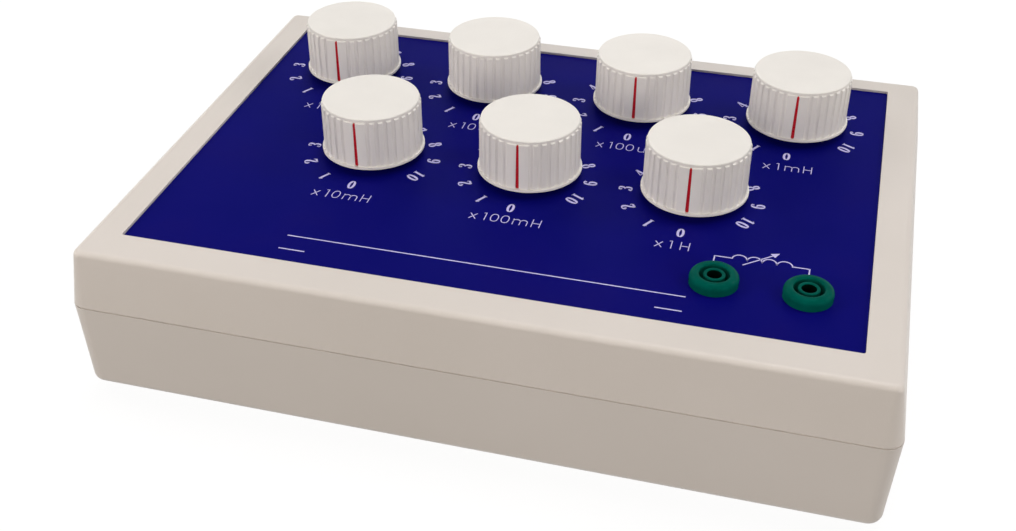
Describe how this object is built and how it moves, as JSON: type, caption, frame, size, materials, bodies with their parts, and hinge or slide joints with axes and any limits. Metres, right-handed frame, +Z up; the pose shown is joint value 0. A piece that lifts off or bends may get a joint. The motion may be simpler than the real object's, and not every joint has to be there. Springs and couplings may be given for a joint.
{
  "type": "inductance decade box",
  "caption": "Laboratory decade box in a two-part moulded case, with fluted knobs on rotary switches and shrouded 4 mm sockets on a sunken panel.",
  "frame": {"origin": "on the table under the middle of the case, at the bottom of the feet", "axes": "+Z up, -Y towards the user, +X to the user's right"},
  "size_m": [0.2538, 0.1852, 0.073],
  "materials": {
    "case": "fine texture, satin",
    "panel": "satin print",
    "knob": "satin",
    "socket": "gloss",
    "rubber": "matte",
    "steel": "plated",
    "spindle": "turned",
    "brass": "plain",
    "copper": "enamelled wire",
    "phenolic": "moulded",
    "board": "solder mask"
  },
  "bodies": {
    "case": {"upper_shell": "case", "lower_shell": "case", "front_panel": "panel", "case_screws": "steel", "rubber_feet": "rubber", "switch_nuts": "brass", "switch_washers": "steel", "switch_bases": "phenolic", "detent_balls": "steel", "detent_rings": "steel", "circuit_board": "board", "sockets": "socket", "socket_contacts": "brass", "socket_nuts": "steel", "solder_lugs": "brass", "socket_wires": "copper", "switch_x1uh": "phenolic", "switch_x10uh": "phenolic", "switch_x100uh": "phenolic", "switch_x1mh": "phenolic", "switch_x10mh": "phenolic", "switch_x100mh": "phenolic", "switch_x1h": "phenolic", "terminals_x1uh": "brass", "terminals_x10uh": "brass", "terminals_x100uh": "brass", "terminals_x1mh": "brass", "terminals_x10mh": "brass", "terminals_x100mh": "brass", "terminals_x1h": "brass", "coils_x1uh": "copper", "coils_x10uh": "copper", "coils_x100uh": "copper", "coils_x1mh": "copper", "coils_x10mh": "copper", "coils_x100mh": "copper", "coils_x1h": "copper"},
    "knob_x1uh_turning": {"knob_x1uh": "knob", "cap_x1uh": "knob", "spindle_x1uh": "spindle"},
    "knob_x10uh_turning": {"knob_x10uh": "knob", "cap_x10uh": "knob", "spindle_x10uh": "spindle"},
    "knob_x100uh_turning": {"knob_x100uh": "knob", "cap_x100uh": "knob", "spindle_x100uh": "spindle"},
    "knob_x1mh_turning": {"knob_x1mh": "knob", "cap_x1mh": "knob", "spindle_x1mh": "spindle"},
    "knob_x10mh_turning": {"knob_x10mh": "knob", "cap_x10mh": "knob", "spindle_x10mh": "spindle"},
    "knob_x100mh_turning": {"knob_x100mh": "knob", "cap_x100mh": "knob", "spindle_x100mh": "spindle"},
    "knob_x1h_turning": {"knob_x1h": "knob", "cap_x1h": "knob", "spindle_x1h": "spindle"}
  },
  "joints": [
    {"name": "turn_x1uh", "type": "hinge", "parent": "case", "child": "knob_x1uh_turning", "pos_m": [-0.0825, 0.0499, 0.06], "axis": [0, 0, -1], "range_deg": [0, 300]},
    {"name": "turn_x10uh", "type": "hinge", "parent": "case", "child": "knob_x10uh_turning", "pos_m": [-0.0275, 0.0499, 0.06], "axis": [0, 0, -1], "range_deg": [-150, 150]},
    {"name": "turn_x100uh", "type": "hinge", "parent": "case", "child": "knob_x100uh_turning", "pos_m": [0.0275, 0.0499, 0.06], "axis": [0, 0, -1], "range_deg": [0, 300]},
    {"name": "turn_x1mh", "type": "hinge", "parent": "case", "child": "knob_x1mh_turning", "pos_m": [0.0825, 0.0499, 0.06], "axis": [0, 0, -1], "range_deg": [0, 300]},
    {"name": "turn_x10mh", "type": "hinge", "parent": "case", "child": "knob_x10mh_turning", "pos_m": [-0.055, -0.0056, 0.06], "axis": [0, 0, -1], "range_deg": [0, 300]},
    {"name": "turn_x100mh", "type": "hinge", "parent": "case", "child": "knob_x100mh_turning", "pos_m": [0, -0.0056, 0.06], "axis": [0, 0, -1], "range_deg": [0, 300]},
    {"name": "turn_x1h", "type": "hinge", "parent": "case", "child": "knob_x1h_turning", "pos_m": [0.055, -0.0056, 0.06], "axis": [0, 0, -1], "range_deg": [0, 300]}
  ]
}
